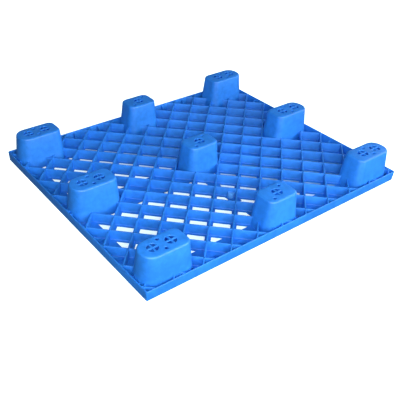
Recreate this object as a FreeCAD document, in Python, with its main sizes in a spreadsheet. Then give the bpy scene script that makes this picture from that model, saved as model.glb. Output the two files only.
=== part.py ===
import FreeCAD, Part
import os

import Sketcher

V = FreeCAD.Vector
Z_AXIS = V(0, 0, 1)

doc = FreeCAD.newDocument("NineFootPallet")

# ---------------------------------------------------------------- driving sizes (mm)
# The pallet lies on its load deck: z = 0 is the load face and the feet point up (+Z).
DIMS = [
    ("deckLength", 1200.0, "outside length along X, at the free edge of the rim"),
    ("deckWidth", 1000.0, "outside width along Y, at the free edge of the rim"),
    ("totalHeight", 135.0, "load face to soles"),
    ("rimHeight", 40.0, "load face to free edge of the rim"),
    ("rimThick", 5.0, "rim thickness at its free edge"),
    ("rimDraft", 1.8, "how far the rim leans in at the load face"),
    ("rimRound", 1.6, "rounding of the rim's free edge"),
    ("plateThick", 3.0, "deck panel thickness"),
    ("nodePitch", 118.0, "spacing of the rib crossings along X and along Y"),
    ("ribThick", 4.6, "thickness of the diagonal ribs"),
    ("ribTop", 39.5, "height of the diagonal ribs above the load face"),
    ("ribRun", 1560.0, "length of a rib before it is trimmed to the rim"),
    ("openSide", 61.0, "side of one square deck opening"),
    ("fieldX", 522.0, "half length of the field of openings"),
    ("fieldY", 399.0, "half width of the field of openings"),
    ("bandHalf", 59.0, "half width of the closed band along the middle row of feet"),
    ("gateBar", 38.0, "width of the closed bar that carries the gate stub"),
    ("legX", 491.5, "foot pitch along X"),
    ("legY", 428.0, "foot pitch along Y"),
    ("legHalfY", 45.5, "half width of a sole"),
    ("endHalfX", 86.0, "half length of an end foot's sole"),
    ("midHalfX", 66.0, "half length of a middle foot's sole"),
    ("endRound", 41.0, "plan radius of an end foot's outer corners"),
    ("legRound", 26.0, "plan radius of the other foot corners"),
    ("legDraft", 6.0, "draft of the foot walls, degrees"),
    ("legWall", 4.0, "wall of the feet and soles"),
    ("shoulder", 7.0, "rounding between foot wall and sole"),
    ("soleInset", 10.0, "sole panel edge, inside the foot outline"),
    ("legMargin", 10.0, "closed deck around each foot"),
    ("drainRadius", 20.0, "radius of one round group of four drain holes"),
    ("drainWeb", 6.0, "cross web in a drain group"),
    ("drainPitch", 70.0, "spacing of the two drain groups of an end foot"),
    ("drainShift", 3.5, "drain holes of an end foot, towards its round end"),
    ("pinRadius", 6.5, "radius of the single drain holes"),
    ("pinX", 34.0, "single drain holes of a middle foot, along X"),
    ("pinY", 25.0, "single drain holes, along Y"),
    ("gussetThick", 3.0, "thickness of gussets and link ribs"),
    ("gussetHigh", 31.0, "height of a rim gusset"),
    ("gussetLongY", 44.0, "reach of the gussets on the long rims"),
    ("gussetLongX", 50.0, "reach of the gussets on the short rims"),
    ("linkTop", 34.0, "height of the link ribs between feet and rim"),
    ("linkPitch", 55.0, "spacing of the link ribs on the long rims"),
    ("linkShift", 11.5, "link ribs of an end foot, away from its round end"),
    ("linkPitchEnd", 34.0, "spacing of the link ribs on the short rims"),
    ("gateRadius", 14.0, "radius of the moulding gate stub"),
    ("gateTop", 24.0, "height of the moulding gate stub"),
]
sheet = doc.addObject("Spreadsheet::Sheet", "Dims")
for row, (alias, value, note) in enumerate(DIMS, start=1):
    sheet.set("A%d" % row, alias)
    sheet.set("B%d" % row, str(value))
    sheet.set("C%d" % row, note)
    sheet.setAlias("B%d" % row, alias)
doc.recompute()
D = {alias: value for alias, value, _ in DIMS}

HALF_ROOT = 0.5 ** 0.5


def bind(obj, **expressions):
    """Bind properties to spreadsheet expressions; Pos_x means Placement.Base.x."""
    for prop, text in expressions.items():
        obj.setExpression(prop.replace("Pos_", "Placement.Base."), text)
    return obj


def box(name, length, width, height, x, y, z, yaw=0):
    obj = doc.addObject("Part::Box", name)
    obj.Placement = FreeCAD.Placement(V(0, 0, 0), FreeCAD.Rotation(Z_AXIS, yaw))
    return bind(obj, Length=length, Width=width, Height=height, Pos_x=x, Pos_y=y, Pos_z=z)


def centred_box(name, length, width, height, x, y, z):
    corner_x = "(%s) - (%s) / 2" % (x, length)
    corner_y = "(%s) - (%s) / 2" % (y, width)
    return box(name, length, width, height, corner_x, corner_y, z)


def compound(name, members):
    obj = doc.addObject("Part::Compound", name)
    obj.Links = members
    return obj


def combine(kind, name, base, tool):
    obj = doc.addObject("Part::" + kind, name)
    obj.Base = base
    obj.Tool = tool
    return obj


def rounded_outline(name, half_x, half_y, r_left, r_right, x, y, z, turned):
    """Closed outline, symmetric about its own X axis, with two corner radii."""
    sk = doc.addObject("Sketcher::SketchObject", name)
    hx, hy, rl, rr = 80.0, 45.0, 30.0, 15.0
    arcs = {1: (hx - rr, -hy + rr, rr, 270), 3: (hx - rr, hy - rr, rr, 0),
            5: (-hx + rl, hy - rl, rl, 90), 7: (-hx + rl, -hy + rl, rl, 180)}
    ends = {0: ((-hx + rl, -hy), (hx - rr, -hy)), 2: ((hx, -hy + rr), (hx, hy - rr)),
            4: ((hx - rr, hy), (-hx + rl, hy)), 6: ((-hx, hy - rl), (-hx, -hy + rl))}
    for index in range(8):
        if index in ends:
            (x0, y0), (x1, y1) = ends[index]
            sk.addGeometry(Part.LineSegment(V(x0, y0, 0), V(x1, y1, 0)), False)
        else:
            cx, cy, radius, start = arcs[index]
            circle = Part.Circle(V(cx, cy, 0), Z_AXIS, radius)
            a0 = start * 3.141592653589793 / 180
            arc = Part.ArcOfCircle(circle, a0, a0 + 3.141592653589793 / 2)
            sk.addGeometry(arc, False)
    for index in range(8):
        sk.addConstraint(Sketcher.Constraint("Tangent", index, 2, (index + 1) % 8, 1))
    for index in (0, 4):
        sk.addConstraint(Sketcher.Constraint("Horizontal", index))
    for index in (2, 6):
        sk.addConstraint(Sketcher.Constraint("Vertical", index))
    sk.addConstraint(Sketcher.Constraint("Equal", 1, 3))
    sk.addConstraint(Sketcher.Constraint("Equal", 5, 7))
    sizes = [("Radius", (1, rr), r_right), ("Radius", (5, rl), r_left),
             ("DistanceX", (-1, 1, 2, 1, hx), half_x), ("DistanceX", (6, 1, -1, 1, hx), half_x),
             ("DistanceY", (-1, 1, 4, 1, hy), half_y), ("DistanceY", (0, 1, -1, 1, hy), half_y)]
    for kind, arguments, text in sizes:
        place = sk.addConstraint(Sketcher.Constraint(kind, *arguments))
        sk.setExpression("Constraints[%d]" % place, text)
    yaw = 180 if turned else 0
    sk.Placement = FreeCAD.Placement(V(0, 0, 0), FreeCAD.Rotation(Z_AXIS, yaw))
    return bind(sk, Pos_x=x, Pos_y=y, Pos_z=z)


def drop(name, outline, depth, draft):
    """Solid from an outline downwards, growing by the draft angle on the way."""
    obj = doc.addObject("Part::Extrusion", name)
    obj.Base = outline
    obj.DirMode = "Custom"
    obj.Dir = V(0, 0, -1)
    obj.Solid = True
    return bind(obj, LengthFwd=depth, TaperAngle=draft)


# ---------------------------------------------------------------- feet
# End feet have a round outer end; the right-hand ones are the left-hand ones turned
# half a turn. Middle feet have four equal corners.
LEGS = []
for row, row_name in ((-1, "front"), (0, "mid"), (1, "back")):
    for col, col_name in ((-1, "left"), (0, "centre"), (1, "right")):
        LEGS.append((row, col, row_name + "_" + col_name))


def leg_outline(tag, row, col, inset, z):
    half_x = "Dims.midHalfX" if col == 0 else "Dims.endHalfX"
    r_left = "Dims.legRound" if col == 0 else "Dims.endRound"
    return rounded_outline(tag, half_x + " - " + inset, "Dims.legHalfY - " + inset,
                           r_left + " - " + inset, "Dims.legRound - " + inset,
                           "%d * Dims.legX" % col, "%d * Dims.legY" % row, z, col == 1)


envelopes = []
shells = []
soles = []
for row, col, name in LEGS:
    outer = leg_outline("outline_" + name, row, col, "0", "Dims.totalHeight")
    inner = leg_outline("cavity_outline_" + name, row, col, "Dims.legWall",
                        "Dims.totalHeight - Dims.legWall")
    panel = leg_outline("panel_outline_" + name, row, col, "Dims.soleInset", "Dims.totalHeight")
    envelope = drop("envelope_" + name, outer, "Dims.totalHeight", "Dims.legDraft")
    cavity = drop("cavity_" + name, inner, "Dims.totalHeight - Dims.legWall", "Dims.legDraft")
    plug = drop("plug_" + name, panel, "Dims.legWall", "0")
    envelopes.append(envelope)

    doc.recompute()
    rounded = doc.addObject("Part::Fillet", "rounded_" + name)
    rounded.Base = envelope
    rounded.Edges = [(i + 1, D["shoulder"], D["shoulder"])
                     for i, edge in enumerate(envelope.Shape.Edges)
                     if edge.BoundBox.ZMin > D["totalHeight"] - 0.1]
    hollow = combine("Cut", "hollow_" + name, rounded, cavity)
    shell = combine("Cut", "foot_shell_" + name, hollow, plug)
    shell.Label = "foot_shell_" + name
    shells.append(shell)

    centre_x = "%d * (Dims.legX + Dims.drainShift)" % col
    centre_y = "%d * Dims.legY" % row
    bottom = "Dims.totalHeight - Dims.legWall - 1"
    tall = "Dims.legWall + 2"
    cutters = []
    groups = (0,) if col == 0 else (-0.5, 0.5)
    for index, share in enumerate(groups):
        tag = "%s_%d" % (name, index)
        group_x = "%s + %g * Dims.drainPitch" % (centre_x, share)
        disc = doc.addObject("Part::Cylinder", "drain_disc_" + tag)
        bind(disc, Radius="Dims.drainRadius", Height=tall,
             Pos_x=group_x, Pos_y=centre_y, Pos_z=bottom)
        span = "Dims.drainRadius * 2 + 4"
        web_x = centred_box("drain_web_x_" + tag, span, "Dims.drainWeb", tall,
                            group_x, centre_y, bottom)
        web_y = centred_box("drain_web_y_" + tag, "Dims.drainWeb", span, tall,
                            group_x, centre_y, bottom)
        half = combine("Cut", "drain_half_" + tag, disc, web_x)
        cutters.append(combine("Cut", "drain_group_" + tag, half, web_y))
    for sign in (-1, 1):
        tag = "%s_%s" % (name, "near" if sign < 0 else "far")
        pin = doc.addObject("Part::Cylinder", "drain_pin_" + tag)
        shift = "0" if col else "%d * Dims.pinX" % sign
        bind(pin, Radius="Dims.pinRadius", Height=tall, Pos_x=centre_x + " + " + shift,
             Pos_y="%s + %d * Dims.pinY" % (centre_y, sign), Pos_z=bottom)
        cutters.append(pin)
    sole = combine("Cut", "sole_" + name, plug, compound("drains_" + name, cutters))
    sole.Label = "sole_" + name
    soles.append(sole)
feet = compound("feet_envelope", envelopes)

# ---------------------------------------------------------------- rim
INNER_X = "(Dims.deckLength / 2 - Dims.rimThick)"
INNER_Y = "(Dims.deckWidth / 2 - Dims.rimThick)"


def rim_wall(name, half_low, half_high, low, high, inner, yaw):
    """Drafted wall: its own Y runs upwards and its own Z runs inwards."""
    wall = doc.addObject("Part::Wedge", name + "_blank")
    wall.Placement = FreeCAD.Placement(V(0, 0, 0), FreeCAD.Rotation(yaw, 0, 90))
    bind(wall, Xmin="-" + half_low, Xmax=half_low, X2min="-" + half_high, X2max=half_high,
         Ymin="0", Ymax="Dims.rimHeight", Zmin=inner, Zmax=low, Z2min=inner, Z2max=high)
    doc.recompute()
    rounded = doc.addObject("Part::Fillet", name)
    rounded.Base = wall
    rounded.Edges = [(i + 1, D["rimRound"], D["rimRound"])
                     for i, edge in enumerate(wall.Shape.Edges)
                     if edge.BoundBox.ZMin > D["rimHeight"] - 0.1 and edge.Length > 100]
    rounded.Label = name
    return rounded


LOW_X = "(Dims.deckLength / 2 - Dims.rimDraft)"
LOW_Y = "(Dims.deckWidth / 2 - Dims.rimDraft)"
HIGH_X = "(Dims.deckLength / 2)"
HIGH_Y = "(Dims.deckWidth / 2)"
rims = [rim_wall("rim_front", LOW_X, HIGH_X, LOW_Y, HIGH_Y, INNER_Y, 0),
        rim_wall("rim_back", LOW_X, HIGH_X, LOW_Y, HIGH_Y, INNER_Y, 180),
        rim_wall("rim_right", INNER_Y, INNER_Y, LOW_X, HIGH_X, INNER_X, 90),
        rim_wall("rim_left", INNER_Y, INNER_Y, LOW_X, HIGH_X, INNER_X, 270)]

# ---------------------------------------------------------------- deck panel
# Rib crossings lie on a grid of pitch nodePitch and on its cell centres, so the square
# openings between the ribs sit half a pitch from a crossing along X or along Y.
cells = []
for i in range(-6, 7):
    for j in range(-5, 6):
        for shift_x, shift_y in ((0.5, 0.0), (0.0, 0.5)):
            at_x = i + shift_x
            at_y = j + shift_y
            if abs(at_x) < 5 and abs(at_y) < 4:
                cells.append((at_x, at_y))
openings = []
for index, (at_x, at_y) in enumerate(cells):
    corner_y = "%g * Dims.nodePitch - Dims.openSide * %.6f" % (at_y, HALF_ROOT)
    openings.append(box("opening_%03d" % index, "Dims.openSide", "Dims.openSide",
                        "Dims.plateThick + 2", "%g * Dims.nodePitch" % at_x, corner_y, "-1", 45))
field = centred_box("field", "2 * Dims.fieldX", "2 * Dims.fieldY", "Dims.plateThick + 2",
                    "0", "0", "-1")
in_field = combine("Common", "openings_in_field", compound("openings_all", openings), field)
closed = []
for row, col, name in LEGS:
    half_x = "Dims.midHalfX" if col == 0 else "Dims.endHalfX"
    closed.append(centred_box("surround_" + name, "2 * (%s + 6 + Dims.legMargin)" % half_x,
                              "2 * (Dims.legHalfY + 6 + Dims.legMargin)", "Dims.plateThick + 4",
                              "%d * Dims.legX" % col, "%d * Dims.legY" % row, "-2"))
closed.append(box("closed_band", "2 * Dims.legX", "2 * Dims.bandHalf", "Dims.plateThick + 4",
                  "-Dims.legX", "-Dims.bandHalf", "-2"))
for row in (-1, -2, -3):
    closed.append(box("gate_bar_%d" % -row, "Dims.gateBar", "Dims.nodePitch / 2",
                      "Dims.plateThick + 4", "-Dims.gateBar",
                      "(%d - 0.25) * Dims.nodePitch" % row, "-2"))
perforation = combine("Cut", "perforation", in_field, compound("closed_zones", closed))
panel_blank = centred_box("panel_blank", "2 * " + INNER_X, "2 * " + INNER_Y,
                          "Dims.plateThick", "0", "0", "0")
panel_open = combine("Cut", "panel_open", panel_blank, perforation)
deck_panel = combine("Cut", "deck_panel", panel_open, feet)
deck_panel.Label = "deck_panel"

# ---------------------------------------------------------------- diagonal ribs
RIB_HIGH = "Dims.ribTop - Dims.plateThick"


def rib_family(name, direction, count):
    """Parallel ribs; direction +1 runs along X+Y and direction -1 along X-Y."""
    members = []
    for index in range(-count, count + 1):
        mid_x = "%g * Dims.nodePitch" % (index / 2)
        mid_y = "%g * Dims.nodePitch" % (-direction * index / 2)
        run = "Dims.ribRun / 2 * %.6f" % HALF_ROOT
        half = "Dims.ribThick / 2 * %.6f" % HALF_ROOT
        sign_x, sign_y = ("+", "-") if direction > 0 else ("-", "-")
        turn_y = "-" if direction > 0 else "+"
        members.append(box("%s_%02d" % (name, index + count), "Dims.ribRun", "Dims.ribThick",
                           RIB_HIGH, "%s - %s %s %s" % (mid_x, run, sign_x, half),
                           "%s %s %s %s %s" % (mid_y, turn_y, run, sign_y, half),
                           "Dims.plateThick", 45 * direction))
    return compound(name + "_full", members)


bay = centred_box("bay", "2 * " + INNER_X, "2 * " + INNER_Y, "Dims.rimHeight", "0", "0", "0")
family_a = rib_family("rib_a", 1, 9)
family_b = rib_family("rib_b", -1, 9)
rib_a_bay = combine("Common", "rib_a_bay", family_a, bay)
rib_b_bay = combine("Common", "rib_b_bay", family_b, bay)
ribs_a = combine("Cut", "ribs_diagonal_a", rib_a_bay, feet)
ribs_a.Label = "ribs_diagonal_a"
rib_b_clear = combine("Cut", "rib_b_clear", rib_b_bay, feet)
ribs_b = combine("Cut", "ribs_diagonal_b", rib_b_clear, family_a)
ribs_b.Label = "ribs_diagonal_b"

# ---------------------------------------------------------------- link ribs, gussets, gate
LINK_HIGH = "Dims.linkTop - Dims.plateThick"
links = []
for row, col, name in LEGS:
    if row:
        for share in (-1, 0, 1):
            reach = "(%s - Dims.legY)" % INNER_Y
            start = "%d * Dims.legY" % row if row > 0 else "-" + INNER_Y
            links.append(box("link_y_%s_%d" % (name, share + 1), "Dims.gussetThick", reach,
                             LINK_HIGH, "%d * (Dims.legX - Dims.linkShift) + %d * Dims.linkPitch"
                             " - Dims.gussetThick / 2" % (col, share), start,
                             "Dims.plateThick"))
    if col:
        for share in (-0.5, 0.5):
            reach = "(%s - Dims.legX)" % INNER_X
            start = "%d * Dims.legX" % col if col > 0 else "-" + INNER_X
            links.append(box("link_x_%s_%d" % (name, share > 0), reach, "Dims.gussetThick",
                             LINK_HIGH, start, "%d * Dims.legY + %g * Dims.linkPitchEnd"
                             " - Dims.gussetThick / 2" % (row, share), "Dims.plateThick"))
link_clear = combine("Cut", "link_clear", compound("links_full", links), feet)
both = compound("both_families", [family_a, family_b])
link_ribs = combine("Cut", "link_ribs", link_clear, both)
link_ribs.Label = "link_ribs"


def gusset(name, reach, yaw, along, inner):
    """Triangular web that leans on the rim; its own X runs along the rim."""
    web = doc.addObject("Part::Wedge", name)
    turn = FreeCAD.Rotation(yaw, 0, 90)
    web.Placement = FreeCAD.Placement(V(0, 0, 0), turn)
    side = "Dims.gussetThick / 2"
    at = "%g * Dims.nodePitch" % along
    return bind(web, Xmin="%s - %s" % (at, side), Xmax="%s + %s" % (at, side),
                X2min="%s - %s" % (at, side), X2max="%s + %s" % (at, side),
                Ymin="Dims.plateThick", Ymax="Dims.plateThick + Dims.gussetHigh",
                Zmin="%s - %s" % (inner, reach), Zmax=inner,
                Z2min="%s - 4" % inner, Z2max=inner)


webs = []
for yaw in (0, 90, 180, 270):
    long_side = yaw in (0, 180)
    reach = "Dims.gussetLongY" if long_side else "Dims.gussetLongX"
    inner = INNER_Y if long_side else INNER_X
    for along in (-2.5, -1.5, 1.5, 2.5):
        webs.append(gusset("gusset_%d_%d" % (yaw, along * 2 + 10), reach, yaw, along, inner))
gussets = combine("Cut", "rim_gussets", compound("gussets_full", webs), both)
gussets.Label = "rim_gussets"

gate = doc.addObject("Part::Cylinder", "gate_stub")
bind(gate, Radius="Dims.gateRadius", Height="Dims.gateTop - Dims.plateThick",
     Pos_x="-Dims.nodePitch / 6", Pos_y="-1.92 * Dims.nodePitch", Pos_z="Dims.plateThick")
gate.Label = "gate_stub"

# ---------------------------------------------------------------- check and write
doc.recompute()
for obj in doc.Objects:
    bad = [state for state in obj.State if state in ("Invalid", "Error")]
    if bad:
        raise RuntimeError("object %s is %s" % (obj.Name, bad))
parts = [deck_panel] + rims + shells + soles + [ribs_a, ribs_b, link_ribs, gussets, gate]
os.makedirs("parts", exist_ok=True)
for part in parts:
    shape = part.Shape
    if shape.isNull() or not shape.isValid():
        raise RuntimeError("sub-part %s has no valid shape" % part.Label)
    print("%-28s solids %3d  volume %11.1f" % (part.Label, len(shape.Solids), shape.Volume))
    shape.exportStep("parts/%s.step" % part.Label)
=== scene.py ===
import math

import bmesh
import bpy
import numpy as np
from mathutils import Matrix, Vector
from mathutils.geometry import tessellate_polygon


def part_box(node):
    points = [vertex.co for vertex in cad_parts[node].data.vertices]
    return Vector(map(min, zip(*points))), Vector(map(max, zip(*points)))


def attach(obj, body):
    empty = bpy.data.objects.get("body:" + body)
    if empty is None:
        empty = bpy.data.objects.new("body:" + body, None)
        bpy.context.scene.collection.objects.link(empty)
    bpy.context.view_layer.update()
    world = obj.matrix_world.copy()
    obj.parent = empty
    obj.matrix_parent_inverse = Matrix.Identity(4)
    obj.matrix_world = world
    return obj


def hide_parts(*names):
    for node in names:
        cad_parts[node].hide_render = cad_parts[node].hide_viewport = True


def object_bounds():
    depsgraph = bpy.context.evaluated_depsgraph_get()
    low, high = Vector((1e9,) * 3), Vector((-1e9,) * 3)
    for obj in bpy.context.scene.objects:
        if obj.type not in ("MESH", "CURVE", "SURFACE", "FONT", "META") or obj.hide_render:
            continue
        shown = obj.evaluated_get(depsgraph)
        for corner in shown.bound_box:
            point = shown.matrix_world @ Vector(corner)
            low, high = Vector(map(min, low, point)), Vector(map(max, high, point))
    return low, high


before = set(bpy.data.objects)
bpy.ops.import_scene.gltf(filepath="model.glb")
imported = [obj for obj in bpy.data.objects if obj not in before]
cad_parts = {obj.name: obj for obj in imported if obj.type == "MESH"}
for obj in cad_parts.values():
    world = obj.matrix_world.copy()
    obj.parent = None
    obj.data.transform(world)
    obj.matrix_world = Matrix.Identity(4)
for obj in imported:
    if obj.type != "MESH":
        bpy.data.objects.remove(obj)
cad_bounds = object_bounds()

MM = 0.001

# ------------------------------------------------------------------ sizes, in millimetres
# Places come from the frame; these are the section sizes that a box can't tell.
NODE_PITCH = 118.0  # rib crossings along X and along Y
RIB_BASE = 5.6  # rib thickness just above the deck panel
RIB_CREST = 5.0  # rib thickness at its crest
CREST_EDGE = 0.9  # rounding of a rib's crest edges
RIB_FILLET = 2.4  # root fillet of the ribs on the deck panel
FOOT_FILLET = 1.6  # root fillet of the feet on the deck panel
RIM_BASE = 5.6  # rim thickness at the deck panel
RIM_CREST = 4.6  # rim thickness at the free edge
RIM_CORNER = 7.0  # plan radius of the rim's corners
RIM_ROUND = 1.9  # rounding of the rim's free edge
BASE_ROUND = 2.0  # rounding between the rim's outside and the load face
RIM_ROOT = 3.0  # how far the rim's section reaches into the deck panel's edge
RIM_ROOT_HEIGHT = 0.2  # and how far above the load face it ends there
SMALLEST_CORNER = 1.2  # the rim's inner loops have corners of this radius
FOOT_DRAFT = math.tan(math.radians(6.0))
FOOT_WALL = 4.0
FOOT_SHOULDER = 7.0  # rounding between foot wall and sole
WALL_LEVELS = (90.0, 50.0)  # heights of the rings that divide a foot's outer wall
CAVITY_LEVEL = 60.0  # height of the ring that divides its inner wall
CAVITY_ROUND = 3.0  # rounding between a foot's inner wall and its ceiling
CAVITY_BEND = 0.9  # the middle of that rounding, from the wall and from the ceiling
LIP_OUTSIDE = 0.3  # a foot's outer wall ends this far in, and this far above the load face
LIP_INSIDE = 1.5  # chamfer on the inside of a foot's open edge
SOLE_INSET = 10.0  # the frame's sole node stops this far inside the foot's outline
END_ROUND = 41.0  # outer corners of the end feet, in plan
FOOT_ROUND = 26.0  # all the other foot corners, in plan
DRAIN_RADIUS = 20.0
DRAIN_WEB = 6.0
DRAIN_PITCH = 70.0
DRAIN_SHIFT = 3.5  # drain holes of an end foot, towards its round end
PIN_RADIUS = 6.5
PIN_X = 34.0
PIN_Y = 25.0
HOLE_EDGE = 0.7  # chamfer round each drain hole
RIM_LEAN = 1.8  # how far the rim leans in at the load face
RIM_INSET = 0.038  # keeps the rim's free edge just inside the frame's box
LINK_THICK = 3.0
LINK_TAPER = 0.4  # a link rib is this much thicker at its root, and thinner at its crest
LINK_FILLET = 1.4
LINK_PITCH_LONG = 55.0
LINK_SHIFT = 11.5  # link ribs of an end foot, away from its round end
LINK_PITCH_SHORT = 34.0
GUSSET_LONG = 44.0  # reach of the gussets on the long rims
GUSSET_SHORT = 50.0  # reach of the gussets on the short rims
GUSSET_TOE = 1.2  # height of a gusset's thin end
GUSSET_LAND = 4.0  # level stretch of a gusset's edge beside the rim
GUSSET_EDGE = 0.7  # chamfer along a gusset's edges
GUSSET_FLAT = 0.45  # the share of its thickness between the chamfers
GATE_TAPER = 0.6
GATE_ROUND = 2.2  # rounding of the gate stub's top edge
GATE_BEND = 0.7  # the middle of that rounding, below the top
BURIED = 1.0  # how deep ribs and webs stand in the deck panel
OVERLAP = 2.0  # how deep the ends of ribs and webs stand in a rim or a foot
RIB_LINES = 9  # rib lines on each side of the middle one, along both diagonals
MITRE = 12.0  # room at a rib's end to find where its sides and its crest meet a wall
SHORTEST_RUN = 8.0  # a rib line that is shorter than this between the rims is left out
SHORTEST_STRETCH = 5.0  # and so is a stretch of rib shorter than this
HALVINGS = 26  # steps of the search for the place where a rib meets a foot
WELD = 0.00001  # metres; vertices nearer each other than this become one


def node_box(name):
    """A CAD node's corners in millimetres, as two plain lists."""
    low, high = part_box(name)
    return [v / MM for v in low], [v / MM for v in high]


bounds_high = [v / MM for v in cad_bounds[1]]
HALF_X = bounds_high[0]
HALF_Y = bounds_high[1]
TOP = bounds_high[2]  # height of the soles
PLATE = node_box("deck_panel")[1][2]  # height of the deck panel's ribbed face
RIM_TOP = node_box("rim_front")[1][2]
RIB_TOP = node_box("ribs_diagonal_a")[1][2]
LINK_TOP = node_box("link_ribs")[1][2]
GUSSET_TOP = node_box("rim_gussets")[1][2]
BAY_X = node_box("deck_panel")[1][0]  # the rims' inner faces
BAY_Y = node_box("deck_panel")[1][1]


# ------------------------------------------------------------------ mesh helpers
class Shape:
    """Vertices in millimetres and the faces between them."""

    def __init__(self):
        self.verts = []
        self.faces = []

    def loop(self, points):
        """Adds the points and returns their indices."""
        start = len(self.verts)
        self.verts.extend(tuple(p) for p in points)
        return list(range(start, len(self.verts)))

    def bridge(self, a, b):
        """Joins two loops of as many points with a band of four-sided faces."""
        for i in range(len(a)):
            j = (i + 1) % len(a)
            self.faces.append((a[i], a[j], b[j], b[i]))

    def cap(self, outer, holes=(), flip=False):
        """Fills the area between one loop and the loops of its holes."""
        loops = [outer, *holes]
        flat = [i for one in loops for i in one]
        polys = [[Vector(self.verts[i]) for i in one] for one in loops]
        for tri in tessellate_polygon(polys):
            face = tuple(flat[i] for i in tri)
            self.faces.append(face[::-1] if flip else face)

    def build(self, name, node_names, crease=35, material=None):
        mesh = bpy.data.meshes.new(name)
        mesh.from_pydata([[c * MM for c in v] for v in self.verts], [], self.faces)
        mesh.validate()
        obj = bpy.data.objects.new(name, mesh)
        bpy.context.collection.objects.link(obj)
        return finish_piece(obj, node_names, crease, material or PLASTIC)


def finish_piece(obj, node_names, crease, material):
    """Outward normals, smooth shading with creases, material, and its place in the frame."""
    mesh = obj.data
    work = bmesh.new()
    work.from_mesh(mesh)
    bmesh.ops.remove_doubles(work, verts=work.verts, dist=WELD)
    bmesh.ops.recalc_face_normals(work, faces=work.faces)
    work.to_mesh(mesh)
    work.free()
    mesh.polygons.foreach_set("use_smooth", [True] * len(mesh.polygons))
    mesh.set_sharp_from_angle(angle=math.radians(crease))
    mesh.materials.append(material)
    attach(obj, "root")
    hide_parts(*node_names)
    return obj


# ------------------------------------------------------------------ material
def moulded_plastic(name, deep, pale):
    """Satin plastic whose colour wanders between two shades."""
    mat = bpy.data.materials.new(name)
    mat.use_nodes = True
    nodes = mat.node_tree.nodes
    links = mat.node_tree.links
    bsdf = nodes["Principled BSDF"]
    coords = nodes.new("ShaderNodeTexCoord")

    def noise(scale, detail):
        node = nodes.new("ShaderNodeTexNoise")
        node.inputs["Scale"].default_value = scale
        node.inputs["Detail"].default_value = detail
        links.new(coords.outputs["Object"], node.inputs["Vector"])
        return node

    # Faint clouds and scuffs, in the colour and in the gloss.
    cloud = noise(7.0, 3.0)
    scuff = noise(55.0, 5.0)
    both = nodes.new("ShaderNodeMath")
    both.operation = "ADD"
    links.new(cloud.outputs["Fac"], both.inputs[0])
    links.new(scuff.outputs["Fac"], both.inputs[1])
    tint = nodes.new("ShaderNodeValToRGB")
    half = nodes.new("ShaderNodeMath")
    half.operation = "MULTIPLY"
    half.inputs[1].default_value = 0.5
    links.new(both.outputs["Value"], half.inputs[0])
    tint.color_ramp.elements[0].position = 0.36
    tint.color_ramp.elements[0].color = deep
    tint.color_ramp.elements[1].position = 0.64
    tint.color_ramp.elements[1].color = pale
    links.new(half.outputs["Value"], tint.inputs["Fac"])
    links.new(tint.outputs["Color"], bsdf.inputs["Base Color"])

    rough = nodes.new("ShaderNodeMapRange")
    rough.inputs["To Min"].default_value = 0.38
    rough.inputs["To Max"].default_value = 0.54
    links.new(scuff.outputs["Fac"], rough.inputs["Value"])
    links.new(rough.outputs["Result"], bsdf.inputs["Roughness"])

    grain = noise(420.0, 2.0)
    bump = nodes.new("ShaderNodeBump")
    bump.inputs["Strength"].default_value = 0.12
    bump.inputs["Distance"].default_value = 0.0006
    links.new(grain.outputs["Fac"], bump.inputs["Height"])
    links.new(bump.outputs["Normal"], bsdf.inputs["Normal"])
    bsdf.inputs["Specular IOR Level"].default_value = 0.5
    return mat


PLASTIC = moulded_plastic("moulded_blue", (0.010, 0.148, 0.55, 1), (0.017, 0.2, 0.73, 1))
# The gate stub is paler all over: partly stress-whitening where the runner was broken off, partly
# a painted highlight that makes it look lit though the ribs shade it.
STRESS_WHITE_AND_HIGHLIGHT = moulded_plastic("stress_white_and_highlight_blue", (0.05, 0.25, 0.68, 1), (0.09, 0.33, 0.82, 1))


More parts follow.
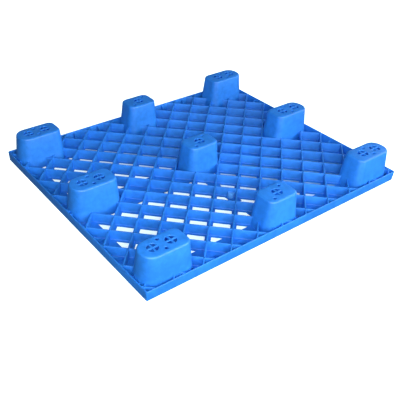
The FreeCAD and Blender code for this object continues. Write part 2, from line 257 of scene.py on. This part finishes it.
# ------------------------------------------------------------------ feet
class Foot:
    """One hollow foot: a drafted shell with a flat sole. side is -1, 0 or 1 along X."""

    def __init__(self, name, side):
        low, high = node_box("sole_" + name)
        self.name = name
        self.side = side
        self.cx = (low[0] + high[0]) / 2
        self.cy = (low[1] + high[1]) / 2
        self.hx = (high[0] - low[0]) / 2 + SOLE_INSET
        self.hy = (high[1] - low[1]) / 2 + SOLE_INSET
        self.r_low = END_ROUND if side < 0 else FOOT_ROUND
        self.r_high = END_ROUND if side > 0 else FOOT_ROUND

    def grow(self, z):
        """How far the draft sets the wall out at height z."""
        return (TOP - z) * FOOT_DRAFT

    def outline(self, offset, z, steps=10):
        """Counter-clockwise loop, offset outwards from the outline at the sole's height."""
        points = []
        corners = ((1, -1, self.r_high, 270), (1, 1, self.r_high, 0),
                   (-1, 1, self.r_low, 90), (-1, -1, self.r_low, 180))
        for sx, sy, radius, start in corners:
            px = self.cx + sx * (self.hx - radius)
            py = self.cy + sy * (self.hy - radius)
            for k in range(steps + 1):
                a = math.radians(start + 90 * k / steps)
                reach = radius + offset
                points.append((px + reach * math.cos(a), py + reach * math.sin(a), z))
        return points

    def distance(self, x, y, z):
        """Signed distance from the outer wall at height z, in plan."""
        dx = x - self.cx
        dy = np.abs(y - self.cy)
        radius = np.where(dx < 0, self.r_low, self.r_high)
        qx = np.abs(dx) - self.hx + radius
        qy = dy - self.hy + radius
        outside = np.hypot(np.maximum(qx, 0), np.maximum(qy, 0))
        return np.minimum(np.maximum(qx, qy), 0) + outside - radius - self.grow(z)

    def drain_loops(self, z, widen):
        """Loops of the drain holes at height z, each widened by the same amount."""
        loops = []
        middle = self.cx + self.side * DRAIN_SHIFT
        groups = (0,) if self.side == 0 else (-0.5, 0.5)
        for share in groups:
            gx = middle + share * DRAIN_PITCH
            for quarter in range(4):
                loops.append(sector_loop(gx, self.cy, quarter, widen, z))
        for sign in (-1, 1):
            px = middle + (0 if self.side else sign * PIN_X)
            loops.append(circle_loop(px, self.cy + sign * PIN_Y, PIN_RADIUS + widen, z))
        return loops

    def build(self):
        shape = Shape()
        rings = []
        # From the sole round its shoulder and down the outer wall.
        for k in range(7):
            a = math.radians(90 * k / 6)
            inset = FOOT_SHOULDER * (1 - math.sin(a))
            z = TOP - FOOT_SHOULDER * (1 - math.cos(a))
            rings.append(shape.loop(self.outline(self.grow(z) - inset, z)))
        for z in (*WALL_LEVELS, PLATE + FOOT_FILLET):
            rings.append(shape.loop(self.outline(self.grow(z), z)))
        # Root fillet, then round the foot's open edge on the load face and up its inside.
        for k in (1, 2, 3):
            a = math.radians(30 * k)
            z = PLATE + FOOT_FILLET * (1 - math.sin(a))
            flare = FOOT_FILLET * (1 - math.cos(a))
            rings.append(shape.loop(self.outline(self.grow(z) + flare, z)))
        rings.append(shape.loop(self.outline(self.grow(0) - LIP_OUTSIDE, LIP_OUTSIDE)))
        rings.append(shape.loop(self.outline(self.grow(0) - FOOT_WALL + LIP_INSIDE, 0.0)))
        ceiling = TOP - FOOT_WALL
        for z in (LIP_INSIDE, CAVITY_LEVEL, ceiling - CAVITY_ROUND):
            rings.append(shape.loop(self.outline(self.grow(z) - FOOT_WALL, z)))
        inner = self.grow(ceiling) - FOOT_WALL
        for inset, drop in ((CAVITY_BEND, CAVITY_BEND), (CAVITY_ROUND, 0.0)):
            rings.append(shape.loop(self.outline(inner - inset, ceiling - drop)))
        for a, b in zip(rings, rings[1:]):
            shape.bridge(a, b)
        # Drain holes, chamfered at the sole's face.
        levels = ((TOP, HOLE_EDGE), (TOP - HOLE_EDGE, 0.0), (ceiling, 0.0))
        walls = [[shape.loop(p) for p in self.drain_loops(z, widen)] for z, widen in levels]
        for upper, lower in zip(walls, walls[1:]):
            for a, b in zip(upper, lower):
                shape.bridge(a, b)
        shape.cap(rings[0], walls[0])
        shape.cap(rings[-1], walls[-1], flip=True)
        return shape.build("foot_" + self.name, ("foot_shell_" + self.name, "sole_" + self.name))


def circle_loop(cx, cy, radius, z, steps=20):
    angles = [2 * math.pi * k / steps for k in range(steps)]
    return [(cx + radius * math.cos(a), cy + radius * math.sin(a), z) for a in angles]


def sector_loop(cx, cy, quarter, widen, z, steps=8):
    """Quarter of a disc, held off its neighbours by the cross web."""
    side = DRAIN_WEB / 2 - widen
    radius = DRAIN_RADIUS + widen
    lean = math.asin(side / radius)
    points = [(side, side)]
    for k in range(steps + 1):
        a = lean + (math.pi / 2 - 2 * lean) * k / steps
        points.append((radius * math.cos(a), radius * math.sin(a)))
    turn = math.radians(90 * quarter)
    c, s = math.cos(turn), math.sin(turn)
    return [(cx + x * c - y * s, cy + x * s + y * c, z) for x, y in points]


FEET = []
for row in ("front", "mid", "back"):
    for side, column in ((-1, "left"), (0, "centre"), (1, "right")):
        foot = Foot(row + "_" + column, side)
        FEET.append(foot)
        foot.build()


# ------------------------------------------------------------------ ribs
def rib_profile(base, crest, high, fillet):
    """Closed section of a rib as (offset, height): root, fillets, drafted sides, flat crest."""
    half = []
    for k in range(4):
        a = math.radians(30 * k)
        half.append((base / 2 + fillet * (1 - math.sin(a)), PLATE + fillet * (1 - math.cos(a))))
    for k in range(4):
        a = math.radians(30 * k)
        half.append((crest / 2 - CREST_EDGE * (1 - math.cos(a)),
                     high - CREST_EDGE * (1 - math.sin(a))))
    root = base / 2 + fillet
    left = [(-u, z) for u, z in half]
    return [(-root, PLATE - BURIED), *left, (0.0, high), *reversed(half), (root, PLATE - BURIED)]


def clear_of_feet(x, y, z, depth):
    """Distance from (x, y) to a line that lies depth inside the nearest foot's wall."""
    return np.min([foot.distance(x, y, z) + depth for foot in FEET], axis=0)


def end_on_line(origin, along, start, stop, z):
    """Where a line that is clear at start ends, a little inside a foot, before stop."""
    lo, hi = start, stop
    for _ in range(HALVINGS):
        mid = (lo + hi) / 2
        x = origin[0] + along[0] * mid
        y = origin[1] + along[1] * mid
        if clear_of_feet(x, y, z, OVERLAP) > 0:
            lo = mid
        else:
            hi = mid
    return lo


def rim_span(origin, along):
    """The stretch of a line inside the rim, ending a little inside the rim's wall."""
    low, high = -math.inf, math.inf
    for axis, half in ((0, BAY_X + OVERLAP), (1, BAY_Y + OVERLAP)):
        if along[axis] != 0:
            a = (-half - origin[axis]) / along[axis]
            b = (half - origin[axis]) / along[axis]
            low = max(low, min(a, b))
            high = min(high, max(a, b))
    return low, high


def rib_runs(origin, along, lowest=-math.inf):
    """Stretches of a rib's centre line, from lowest on, that are clear of every foot."""
    low, high = rim_span(origin, along)
    low = max(low, lowest)
    if high - low < SHORTEST_RUN:
        return []
    steps = np.linspace(low, high, int(high - low) + 2)
    x = origin[0] + along[0] * steps
    y = origin[1] + along[1] * steps
    clear = clear_of_feet(x, y, RIM_TOP / 2, 0.0) > 0
    runs, begin = [], None
    for i, open_here in enumerate(clear):
        if open_here and begin is None:
            begin = i
        if begin is not None and (not open_here or i == len(clear) - 1):
            stop = i if open_here else i - 1
            if steps[stop] - steps[begin] > SHORTEST_STRETCH:
                runs.append((steps[begin], steps[stop], begin > 0, not open_here))
            begin = None
    return runs


def add_rib(shape, profile, origin, along, run):
    """One stretch of rib whose ends are mitred into the rim or into a foot's wall."""
    start, stop, foot_first, foot_last = run
    across = (-along[1], along[0])
    middle = (start + stop) / 2
    ends = ([], [])
    for u, z in profile:
        at = (origin[0] + across[0] * u, origin[1] + across[1] * u)
        first, last = rim_span(at, along)
        first = max(first, start - MITRE)
        last = min(last, stop + MITRE)
        if foot_first:
            first = end_on_line(at, along, middle, start - MITRE, z)
        if foot_last:
            last = end_on_line(at, along, middle, stop + MITRE, z)
        for side, s in zip(ends, (first, last)):
            side.append((at[0] + along[0] * s, at[1] + along[1] * s, z))
    a, b = shape.loop(ends[0]), shape.loop(ends[1])
    shape.bridge(a, b)
    shape.faces.append(tuple(a))
    shape.faces.append(tuple(reversed(b)))


rib_section = rib_profile(RIB_BASE, RIB_CREST, RIB_TOP, RIB_FILLET)
DIAGONAL = math.sqrt(0.5)
for name, lean in (("a", 1), ("b", -1)):
    shape = Shape()
    for index in range(-RIB_LINES, RIB_LINES + 1):
        origin = (index * NODE_PITCH / 2, -lean * index * NODE_PITCH / 2)
        along = (DIAGONAL, lean * DIAGONAL)
        for run in rib_runs(origin, along):
            add_rib(shape, rib_section, origin, along, run)
    shape.build("ribs_" + name, ("ribs_diagonal_" + name,), crease=40)

# ------------------------------------------------------------------ link ribs
# They run from each outer foot to the rim beside it: three along Y, two along X.
link_section = rib_profile(LINK_THICK + LINK_TAPER, LINK_THICK - LINK_TAPER, LINK_TOP, LINK_FILLET)
links_shape = Shape()
for foot in FEET:
    if abs(foot.cy) > 1:
        outward = math.copysign(1, foot.cy)
        for share in (-1, 0, 1):
            origin = (foot.cx - foot.side * LINK_SHIFT + share * LINK_PITCH_LONG, foot.cy)
            for run in rib_runs(origin, (0, outward), lowest=0):
                add_rib(links_shape, link_section, origin, (0, outward), run)
    if abs(foot.cx) > 1:
        outward = math.copysign(1, foot.cx)
        for share in (-0.5, 0.5):
            origin = (foot.cx, foot.cy + share * LINK_PITCH_SHORT)
            for run in rib_runs(origin, (outward, 0), lowest=0):
                add_rib(links_shape, link_section, origin, (outward, 0), run)
links_shape.build("link_webs", ("link_ribs",), crease=40)


# ------------------------------------------------------------------ rim gussets
def add_gusset(shape, at, outward, reach):
    """Sloping web square to the rim, with its thick edge on the rim's inner face."""
    across = (-outward[1], outward[0])
    half_thick = LINK_THICK / 2
    side = ((reach, PLATE - BURIED), (reach, PLATE + GUSSET_TOE), (GUSSET_LAND, GUSSET_TOP),
            (-OVERLAP, GUSSET_TOP), (-OVERLAP, PLATE - BURIED))
    loops = []
    # The two outer layers are a little lower, which chamfers the web's edges.
    for offset, shrink in ((-1, GUSSET_EDGE), (-GUSSET_FLAT, 0.0), (GUSSET_FLAT, 0.0),
                           (1, GUSSET_EDGE)):
        points = []
        for back, z in side:
            drop = shrink if z > PLATE else 0.0
            x = at[0] - outward[0] * back + across[0] * offset * half_thick
            y = at[1] - outward[1] * back + across[1] * offset * half_thick
            points.append((x, y, z - drop))
        loops.append(shape.loop(points))
    for a, b in zip(loops, loops[1:]):
        shape.bridge(a, b)
    shape.faces.append(tuple(loops[0]))
    shape.faces.append(tuple(reversed(loops[-1])))


# Their places along each rim are in pitches.
gussets = Shape()
for share in (-2.5, -1.5, 1.5, 2.5):
    for sign in (-1, 1):
        add_gusset(gussets, (share * NODE_PITCH, sign * BAY_Y), (0, sign), GUSSET_LONG)
        add_gusset(gussets, (sign * BAY_X, share * NODE_PITCH), (sign, 0), GUSSET_SHORT)
gussets.build("rim_webs", ("rim_gussets",), crease=40)


# ------------------------------------------------------------------ rim
def rim_outline(inset, z, steps=8):
    """Counter-clockwise loop, inset from the sides of the whole pallet."""
    points = []
    radius = max(RIM_CORNER - inset, SMALLEST_CORNER)
    for sx, sy, start in ((1, -1, 270), (1, 1, 0), (-1, 1, 90), (-1, -1, 180)):
        px = sx * (HALF_X - inset - radius)
        py = sy * (HALF_Y - inset - radius)
        for k in range(steps + 1):
            a = math.radians(start + 90 * k / steps)
            points.append((px + radius * math.cos(a), py + radius * math.sin(a), z))
    return points


rim = Shape()
rim_rings = []
# The section as (inset, height): load face, outside, free edge, inside and down to the panel.
section = [(RIM_BASE + RIM_ROOT, RIM_ROOT_HEIGHT)]
for k in range(4, -1, -1):
    a = math.radians(22.5 * k)
    section.append((RIM_LEAN + BASE_ROUND * (1 - math.cos(a)), BASE_ROUND * (1 - math.sin(a))))
for k in range(5):
    a = math.radians(22.5 * k)
    section.append((RIM_INSET + RIM_ROUND * (1 - math.cos(a)),
                    RIM_TOP - RIM_ROUND * (1 - math.sin(a))))
for k in range(4, -1, -1):
    a = math.radians(22.5 * k)
    section.append((RIM_CREST - RIM_ROUND * (1 - math.cos(a)),
                    RIM_TOP - RIM_ROUND * (1 - math.sin(a))))
for k in range(4):
    a = math.radians(30 * k)
    section.append((RIM_BASE + RIB_FILLET * (1 - math.cos(a)),
                    PLATE + RIB_FILLET * (1 - math.sin(a))))
for inset, z in section:
    rim_rings.append(rim.loop(rim_outline(inset, z)))
for a, b in zip(rim_rings, rim_rings[1:] + rim_rings[:1]):
    rim.bridge(a, b)
rim.build("rim", ("rim_front", "rim_back", "rim_left", "rim_right"), crease=30)

# ------------------------------------------------------------------ gate stub
# Its rings as (radius, height): a small taper, a rounded top edge and a flat top.
low, high = node_box("gate_stub")
gate_x = (low[0] + high[0]) / 2
gate_y = (low[1] + high[1]) / 2
gate_r = (high[0] - low[0]) / 2
gate_top = high[2]
gate = Shape()
gate_levels = ((gate_r, PLATE - BURIED), (gate_r, PLATE + 0.5),
               (gate_r - GATE_TAPER, gate_top - GATE_ROUND),
               (gate_r - 2 * GATE_TAPER, gate_top - GATE_BEND),
               (gate_r - GATE_TAPER - GATE_ROUND, gate_top), (gate_r * 0.3, gate_top))
gate_rings = [gate.loop(circle_loop(gate_x, gate_y, radius, z, 32)) for radius, z in gate_levels]
for a, b in zip(gate_rings, gate_rings[1:]):
    gate.bridge(a, b)
gate.faces.append(tuple(gate_rings[0]))
gate.faces.append(tuple(reversed(gate_rings[-1])))
# Its paler blue is partly a painted highlight.
gate.build("gate_boss", ("gate_stub",), crease=40, material=STRESS_WHITE_AND_HIGHLIGHT)

# ------------------------------------------------------------------ deck panel
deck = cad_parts["deck_panel"]
for material_slot in deck.material_slots:
    material_slot.material = PLASTIC

# ------------------------------------------------------------------ floor, light, camera
# Lengths from here on are in metres.
FLOOR_HALF = 40.0
FLOOR_GAP = 0.0005  # the floor lies this far below the load face
HIDDEN = 0.004  # the white floor starts this far under the rim
PAINTED_SHADE_AXIS = (0.8, 0.6)  # direction in plan of the painted shade below the pallet, away from the front corner
PAINTED_SHADE_START = -0.19  # where the painted shade begins, along that direction
PAINTED_SHADE_END = 0.09  # where the white is gone and the painted shade is full
PAINTED_GLOW_UNDER = 0.5  # strength of the painted glow on the floor below the front corner
GLOW_HEIGHT = 0.004  # of the lamps inside the hollow feet
GLOW_SIZE = 0.07
GLOW_POWER = 0.05  # watts

floor_mesh = bpy.data.meshes.new("floor")
floor_mesh.from_pydata([(-FLOOR_HALF, -FLOOR_HALF, 0), (FLOOR_HALF, -FLOOR_HALF, 0),
                        (FLOOR_HALF, FLOOR_HALF, 0), (-FLOOR_HALF, FLOOR_HALF, 0)],
                       [], [(0, 1, 2, 3)])
floor = bpy.data.objects.new("floor", floor_mesh)
floor.location.z = -FLOOR_GAP
bpy.context.collection.objects.link(floor)
floor_mat = bpy.data.materials.new("floor")
floor_mat.use_nodes = True
floor_nodes = floor_mat.node_tree.nodes
floor_links = floor_mat.node_tree.links
floor_bsdf = floor_nodes["Principled BSDF"]
floor_bsdf.inputs["Roughness"].default_value = 0.9
floor_bsdf.inputs["Specular IOR Level"].default_value = 0.0
floor_bsdf.inputs["Emission Color"].default_value = (1, 1, 1, 1)
floor_mesh.materials.append(floor_mat)
# The floor throws no light back on the pallet.
floor.visible_diffuse = False
floor.visible_glossy = False


def floor_math(operation, first, second=None, third=None):
    """Math node on the floor; the inputs are sockets or plain numbers."""
    node = floor_nodes.new("ShaderNodeMath")
    node.operation = operation
    for socket, value in zip(node.inputs, (first, second, third)):
        if isinstance(value, (int, float)):
            socket.default_value = value
        elif value is not None:
            floor_links.new(value, socket)
    return node.outputs["Value"]


# The floor is evenly white round the pallet; below it is painted shade: the white glow dies away
# from the front corner and the colour darkens to a blue grey.
place = floor_nodes.new("ShaderNodeSeparateXYZ")
where = floor_nodes.new("ShaderNodeTexCoord")
floor_links.new(where.outputs["Object"], place.inputs["Vector"])
away_x = floor_math("GREATER_THAN", floor_math("ABSOLUTE", place.outputs["X"]),
                    HALF_X * MM - HIDDEN)
away_y = floor_math("GREATER_THAN", floor_math("ABSOLUTE", place.outputs["Y"]),
                    HALF_Y * MM - HIDDEN)
outside = floor_math("MAXIMUM", away_x, away_y)
along = floor_math("MULTIPLY_ADD", place.outputs["X"], PAINTED_SHADE_AXIS[0],
                   floor_math("MULTIPLY", place.outputs["Y"], PAINTED_SHADE_AXIS[1]))
painted_shade_fade = floor_nodes.new("ShaderNodeMapRange")
painted_shade_fade.interpolation_type = "SMOOTHSTEP"
painted_shade_fade.inputs["From Min"].default_value = PAINTED_SHADE_START
painted_shade_fade.inputs["From Max"].default_value = PAINTED_SHADE_END
painted_shade_fade.inputs["To Min"].default_value = 1.0
painted_shade_fade.inputs["To Max"].default_value = 0.0
floor_links.new(along, painted_shade_fade.inputs["Value"])
paleness = floor_math("MAXIMUM", outside, painted_shade_fade.outputs["Result"])
# Painted shade in the floor's colour: blue grey below the pallet's far part, pale towards the
# front corner and round the pallet.
painted_shade_colour = floor_nodes.new("ShaderNodeValToRGB")
stops = painted_shade_colour.color_ramp.elements
stops[0].color = (0.17, 0.38, 0.66, 1)
stops[1].color = (0.5, 0.82, 0.8, 1)
stops.new(0.45).color = (0.33, 0.58, 0.8, 1)
floor_links.new(paleness, painted_shade_colour.inputs["Fac"])
floor_links.new(painted_shade_colour.outputs["Color"], floor_bsdf.inputs["Base Color"])
# Painted glow: below the front corner the floor shines as if lit.
shine = floor_math("MULTIPLY", painted_shade_fade.outputs["Result"], PAINTED_GLOW_UNDER)
floor_links.new(floor_math("MAXIMUM", outside, shine), floor_bsdf.inputs["Emission Strength"])

# White backdrop all round, above the floor; it is only seen, and gives no light.
dome_mesh = bpy.data.meshes.new("backdrop")
work = bmesh.new()
bmesh.ops.create_uvsphere(work, u_segments=48, v_segments=24, radius=FLOOR_HALF)
work.to_mesh(dome_mesh)
work.free()
dome_mat = bpy.data.materials.new("backdrop")
dome_mat.use_nodes = True
dome_bsdf = dome_mat.node_tree.nodes["Principled BSDF"]
dome_bsdf.inputs["Emission Color"].default_value = (1, 1, 1, 1)
dome_bsdf.inputs["Emission Strength"].default_value = 1.0
dome_mesh.materials.append(dome_mat)
dome = bpy.data.objects.new("backdrop", dome_mesh)
bpy.context.collection.objects.link(dome)
dome.visible_diffuse = False
dome.visible_glossy = False
dome.visible_shadow = False

world = bpy.data.worlds.new("studio")
bpy.context.scene.world = world
world.use_nodes = True
world.node_tree.nodes["Background"].inputs["Color"].default_value = (1, 1, 1, 1)
world.node_tree.nodes["Background"].inputs["Strength"].default_value = 0.11

LIGHT_TARGET = Vector((-0.15, -0.15, 0.05))  # in the pallet's near half


def square_lamp(name, location, toward, power, size):
    """Square lamp; toward is the direction from what it lights to the lamp."""
    data = bpy.data.lights.new(name, "AREA")
    data.shape = "SQUARE"
    data.size = size
    data.energy = power
    obj = bpy.data.objects.new(name, data)
    obj.location = location
    obj.rotation_euler = toward.to_track_quat("Z", "Y").to_euler()
    obj.visible_camera = False
    bpy.context.collection.objects.link(obj)
    return obj


def soft_box(name, azimuth, elevation, power, distance=2.4, size=1.6):
    """Soft box aimed at the light target; azimuth is measured from +X."""
    a, e = math.radians(azimuth), math.radians(elevation)
    toward = Vector((math.cos(e) * math.cos(a), math.cos(e) * math.sin(a), math.sin(e)))
    return square_lamp(name, LIGHT_TARGET + toward * distance, toward, power, size)


soft_box("left_low", azimuth=-130, elevation=22, power=37)
soft_box("left_high", azimuth=-130, elevation=40, power=42)
soft_box("front_low", azimuth=-80, elevation=22, power=43)
soft_box("front_right", azimuth=-60, elevation=22, power=31, distance=3.2)
soft_box("right_low", azimuth=-15, elevation=22, power=20)
# Weak fill from behind, which doesn't shine on the soles.
for name, azimuth in (("back_right", 20), ("back_left", 85)):
    fill = soft_box(name, azimuth, elevation=10, power=13, size=0.8)
    fill.visible_glossy = False

# Light that the real thin walls would let through into the hollow feet.
for foot in FEET:
    glow = square_lamp("glow_" + foot.name, (foot.cx * MM, foot.cy * MM, GLOW_HEIGHT),
                       Vector((0, 0, -1)), GLOW_POWER, GLOW_SIZE)
    glow.data.color = (0.05, 0.5, 1.0)

# The camera looks at its target from this azimuth and elevation, in degrees and metres.
CAMERA_AZIMUTH = 233.994
CAMERA_ELEVATION = 35.543
CAMERA_ROLL = 0.946
CAMERA_DISTANCE = 2.239
CAMERA_TARGET = Vector((-0.271, -0.082, 0.0))
cam_data = bpy.data.cameras.new("camera")
cam = bpy.data.objects.new("camera", cam_data)
bpy.context.collection.objects.link(cam)
a, e = math.radians(CAMERA_AZIMUTH), math.radians(CAMERA_ELEVATION)
back = Vector((math.cos(e) * math.cos(a), math.cos(e) * math.sin(a), math.sin(e)))
right = (-back).cross(Vector((0, 0, 1))).normalized()
up = right.cross(-back)
roll = math.radians(CAMERA_ROLL)
cam_x = math.cos(roll) * right + math.sin(roll) * up
cam_y = -math.sin(roll) * right + math.cos(roll) * up
cam.matrix_world = Matrix((
    (cam_x.x, cam_y.x, back.x, CAMERA_TARGET.x + back.x * CAMERA_DISTANCE),
    (cam_x.y, cam_y.y, back.y, CAMERA_TARGET.y + back.y * CAMERA_DISTANCE),
    (cam_x.z, cam_y.z, back.z, CAMERA_TARGET.z + back.z * CAMERA_DISTANCE),
    (0, 0, 0, 1)))
cam_data.sensor_width = 36.0
cam_data.lens = 53.23
cam_data.shift_x = 0.1144
cam_data.clip_end = 200.0
bpy.context.scene.camera = cam

bpy.context.scene.view_settings.view_transform = "Standard"
bpy.context.scene.view_settings.look = "None"
